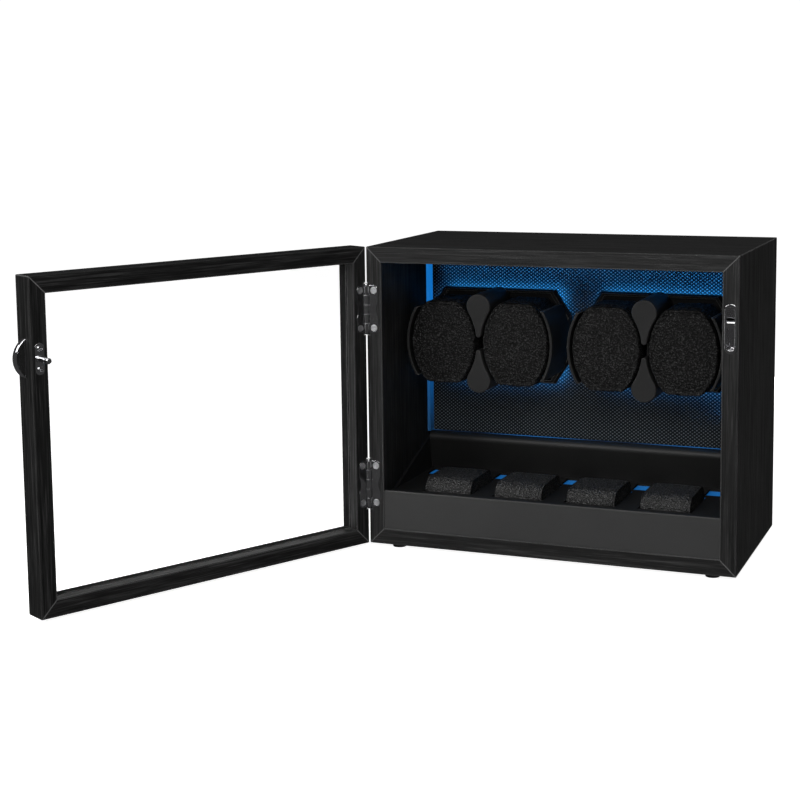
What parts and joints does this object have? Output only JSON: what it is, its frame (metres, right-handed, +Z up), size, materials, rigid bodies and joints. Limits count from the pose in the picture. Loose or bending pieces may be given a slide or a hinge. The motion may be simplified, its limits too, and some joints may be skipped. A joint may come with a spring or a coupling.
{
  "type": "watch winder box",
  "caption": "Free-standing black wooden watch winder box with a hinged glazed door, rotating twin-pillow heads and a cushioned storage tray.",
  "frame": {"origin": "centre of the cabinet's rectangular footprint, on the surface that the feet stand on", "axes": "+X to the right seen from the front, +Y from the open front towards the back, +Z up"},
  "size_m": [0.5298, 0.5208, 0.29],
  "materials": {
    "black_woodgrain": "fine brushed black woodgrain foil, satin",
    "clear_glass": "clear polished float glass",
    "chrome": "polished",
    "gloss_black": "glossy",
    "back_board_black": "painted fibreboard, matt",
    "black_metal": "black coated",
    "carbon_weave": "printed carbon-fibre weave, satin",
    "blue_light": "frosted light guide, lit blue",
    "tray_black": "smooth satin black",
    "cushion_leather": "fine pebbled leatherette",
    "pillow_leather": "coarse pebbled leatherette",
    "head_plastic": "satin moulded plastic",
    "teardrop_plastic": "smooth satin dark grey",
    "steel": "turned",
    "brass": "turned",
    "gear_nylon": "moulded nylon",
    "circuit_green": "solder-masked circuit board",
    "black_plastic": "fine-textured moulded plastic",
    "foot_rubber": "matt"
  },
  "bodies": {
    "root": {"cabinet_top_panel": "black_woodgrain", "cabinet_bottom_panel": "black_woodgrain", "cabinet_left_panel": "black_woodgrain", "cabinet_right_panel": "black_woodgrain", "hinge_cabinet_leaves": "chrome", "hinge_pins": "chrome", "hinge_cabinet_screws": "chrome", "strike_plate": "chrome", "dc_inlet": "gloss_black", "back_panel": "back_board_black", "back_panel_screws": "black_metal", "motor_brackets": "black_metal", "backboard": "carbon_weave", "side_light_bars": "blue_light", "rear_light_bar": "blue_light", "tray_light_strip": "blue_light", "tray_front_board": "tray_black", "tray_deck": "tray_black", "tray_ribs": "tray_black", "tray_rear_ledge": "tray_black", "tray_end_walls": "tray_black", "gear_motors": "steel", "foot_screws": "steel", "spindle_bushes": "brass", "control_board": "circuit_green", "rear_control_plate": "black_plastic", "feet": "foot_rubber"},
    "door": {"door_top_rail": "black_woodgrain", "door_bottom_rail": "black_woodgrain", "door_hinge_stile": "black_woodgrain", "door_latch_stile": "black_woodgrain", "door_glass": "clear_glass", "hinge_door_leaves": "chrome", "hinge_door_screws": "chrome", "latch_base": "chrome", "latch_stud": "chrome", "latch_screws": "chrome", "door_pull": "chrome", "door_pull_inlays": "gloss_black"},
    "head_1": {"head_carrier_1": "head_plastic", "head_divider_1": "teardrop_plastic", "head_spindle_1": "steel", "drive_gear_1": "gear_nylon"},
    "pinion_1": {"motor_pinion_1": "brass"},
    "pillow_1_left": {"rotor_pillow_1_left": "pillow_leather"},
    "pillow_1_right": {"rotor_pillow_1_right": "pillow_leather"},
    "knob_1": {"mode_knob_1": "black_plastic"},
    "head_2": {"head_carrier_2": "head_plastic", "head_divider_2": "teardrop_plastic", "head_spindle_2": "steel", "drive_gear_2": "gear_nylon"},
    "pinion_2": {"motor_pinion_2": "brass"},
    "pillow_2_left": {"rotor_pillow_2_left": "pillow_leather"},
    "pillow_2_right": {"rotor_pillow_2_right": "pillow_leather"},
    "knob_2": {"mode_knob_2": "black_plastic"},
    "cushion_1": {"storage_cushion_1": "cushion_leather"},
    "cushion_2": {"storage_cushion_2": "cushion_leather"},
    "cushion_3": {"storage_cushion_3": "cushion_leather"},
    "cushion_4": {"storage_cushion_4": "cushion_leather"},
    "rocker": {"led_rocker": "gloss_black"}
  },
  "joints": [
    {"name": "door_hinge", "type": "hinge", "parent": "root", "child": "door", "pos_m": [-0.175, -0.0956, 0.1475], "axis": [0, 0, -1], "range_deg": [-117.2, 50]},
    {"name": "head_1_spin", "type": "hinge", "parent": "root", "child": "head_1", "pos_m": [-0.08, 0, 0.1955], "axis": [0, 1, 0], "continuous": true},
    {"name": "pinion_1_spin", "type": "hinge", "parent": "root", "child": "pinion_1", "pos_m": [-0.08, 0, 0.1675], "axis": [0, 1, 0], "continuous": true},
    {"name": "pillow_1_left_slide", "type": "slide", "parent": "head_1", "child": "pillow_1_left", "axis": [0, -1, 0], "range_m": [0, 0.065]},
    {"name": "pillow_1_right_slide", "type": "slide", "parent": "head_1", "child": "pillow_1_right", "axis": [0, -1, 0], "range_m": [0, 0.065]},
    {"name": "head_2_spin", "type": "hinge", "parent": "root", "child": "head_2", "pos_m": [0.08, 0, 0.1955], "axis": [0, 1, 0], "continuous": true},
    {"name": "pinion_2_spin", "type": "hinge", "parent": "root", "child": "pinion_2", "pos_m": [0.08, 0, 0.1675], "axis": [0, 1, 0], "continuous": true},
    {"name": "pillow_2_left_slide", "type": "slide", "parent": "head_2", "child": "pillow_2_left", "axis": [0, -1, 0], "range_m": [0, 0.065]},
    {"name": "pillow_2_right_slide", "type": "slide", "parent": "head_2", "child": "pillow_2_right", "axis": [0, -1, 0], "range_m": [0, 0.065]},
    {"name": "cushion_1_lift", "type": "slide", "parent": "root", "child": "cushion_1", "axis": [0, 0, 1], "range_m": [0, 0.044]},
    {"name": "cushion_2_lift", "type": "slide", "parent": "root", "child": "cushion_2", "axis": [0, 0, 1], "range_m": [0, 0.044]},
    {"name": "cushion_3_lift", "type": "slide", "parent": "root", "child": "cushion_3", "axis": [0, 0, 1], "range_m": [0, 0.044]},
    {"name": "cushion_4_lift", "type": "slide", "parent": "root", "child": "cushion_4", "axis": [0, 0, 1], "range_m": [0, 0.044]},
    {"name": "mode_knob_1_turn", "type": "hinge", "parent": "root", "child": "knob_1", "pos_m": [-0.036, 0.095, 0.067], "axis": [0, 1, 0], "range_deg": [0, 270]},
    {"name": "mode_knob_2_turn", "type": "hinge", "parent": "root", "child": "knob_2", "pos_m": [0.036, 0.095, 0.067], "axis": [0, 1, 0], "range_deg": [0, 270]},
    {"name": "led_rocker_tip", "type": "hinge", "parent": "root", "child": "rocker", "pos_m": [0, 0.095, 0.075], "axis": [1, 0, 0], "range_deg": [0, 12]}
  ],
  "couplings": [
    {"joint": "pinion_1_spin", "follows": "head_1_spin", "ratio": -3},
    {"joint": "pinion_2_spin", "follows": "head_2_spin", "ratio": -3}
  ]
}
